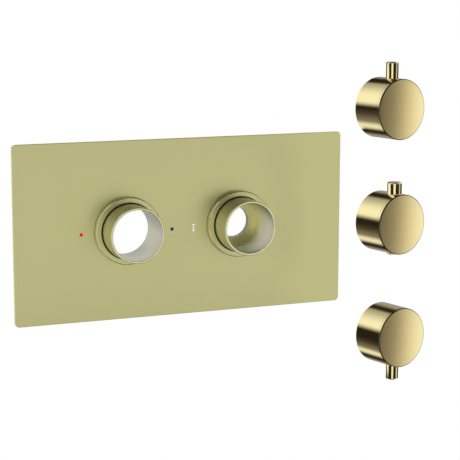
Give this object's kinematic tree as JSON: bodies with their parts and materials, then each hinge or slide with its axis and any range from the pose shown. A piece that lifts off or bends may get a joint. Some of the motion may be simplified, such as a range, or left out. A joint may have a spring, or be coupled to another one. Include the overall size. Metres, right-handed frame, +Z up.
{
  "type": "concealed shower valve",
  "caption": "Trim of a concealed shower valve: wide brass faceplate with open sleeves in collars, and loose turned handles with lever pegs for temperature, flow and outlet.",
  "frame": {"origin": "centre of the backing pad's wall face, behind the middle of the faceplate", "axes": "+X to the right seen from the room, +Y into the wall, +Z up"},
  "size_m": [0.304, 0.0687, 0.2377],
  "materials": {
    "satin_brass_plate": "brushed satin brass with a very even fine grain",
    "satin_brass_sleeve": "turned satin brass, bare grey metal inside the bores",
    "polished_brass": "fine brushed, glossy brass",
    "bare_brass": "machined, uncoated brass",
    "steel": "plain stainless steel",
    "rubber": "matt black rubber",
    "foam": "closed-cell foam",
    "hub_plastic": "off-white moulded plastic",
    "red_enamel": "red enamel fill",
    "blue_enamel": "dark blue enamel fill",
    "white_enamel": "white enamel fill"
  },
  "bodies": {
    "sleeves": {"temperature_sleeve": "satin_brass_sleeve", "flow_sleeve": "satin_brass_sleeve"},
    "plate": {"faceplate": "satin_brass_plate", "backing_pad": "foam", "temperature_collar": "satin_brass_sleeve", "flow_collar": "satin_brass_sleeve", "temperature_collar_seal": "rubber", "flow_collar_seal": "rubber", "temperature_wiper_ring": "rubber", "flow_wiper_ring": "rubber", "temperature_collar_nut": "bare_brass", "flow_collar_nut": "bare_brass", "temperature_nut_washer": "steel", "flow_nut_washer": "steel", "hot_mark": "red_enamel", "cold_mark": "blue_enamel", "outlet_numeral": "white_enamel"},
    "temperature_handle": {"temperature_drum": "polished_brass", "temperature_cap": "polished_brass", "temperature_cap_ring": "rubber", "temperature_peg": "polished_brass", "temperature_hub": "hub_plastic", "temperature_spindle_screw": "steel", "button_spring": "steel"},
    "flow_handle": {"flow_drum": "polished_brass", "flow_cap": "polished_brass", "flow_cap_ring": "rubber", "flow_peg": "polished_brass", "flow_hub": "hub_plastic", "flow_spindle_screw": "steel"},
    "diverter_handle": {"diverter_drum": "polished_brass", "diverter_cap": "polished_brass", "diverter_cap_ring": "rubber", "diverter_peg": "polished_brass", "diverter_hub": "hub_plastic", "diverter_spindle_screw": "steel"},
    "override_button": {"override_button": "polished_brass"}
  },
  "joints": [
    {"name": "faceplate_slide", "type": "slide", "parent": "sleeves", "child": "plate", "axis": [0, -1, 0], "range_m": [0, 0.012]},
    {"name": "temperature_turn", "type": "hinge", "parent": "sleeves", "child": "temperature_handle", "pos_m": [0.14872, -0.02636, -0.0007], "axis": [0.2521, -0.9677, 0], "range_deg": [-90, 90]},
    {"name": "flow_turn", "type": "hinge", "parent": "sleeves", "child": "flow_handle", "pos_m": [0.14917, -0.02171, 0.0842], "axis": [0.2521, -0.9677, 0], "range_deg": [0, 90]},
    {"name": "diverter_turn", "type": "hinge", "parent": "sleeves", "child": "diverter_handle", "pos_m": [0.14827, -0.03101, -0.0856], "axis": [0.2521, -0.9677, 0], "range_deg": [-90, 90]},
    {"name": "override_press", "type": "slide", "parent": "temperature_handle", "child": "override_button", "axis": [0, 0, 1], "range_m": [0, 0.0012], "stiffness_N_per_m": 990, "springref_m": -0.0015, "deforming": ["button_spring"]}
  ]
}
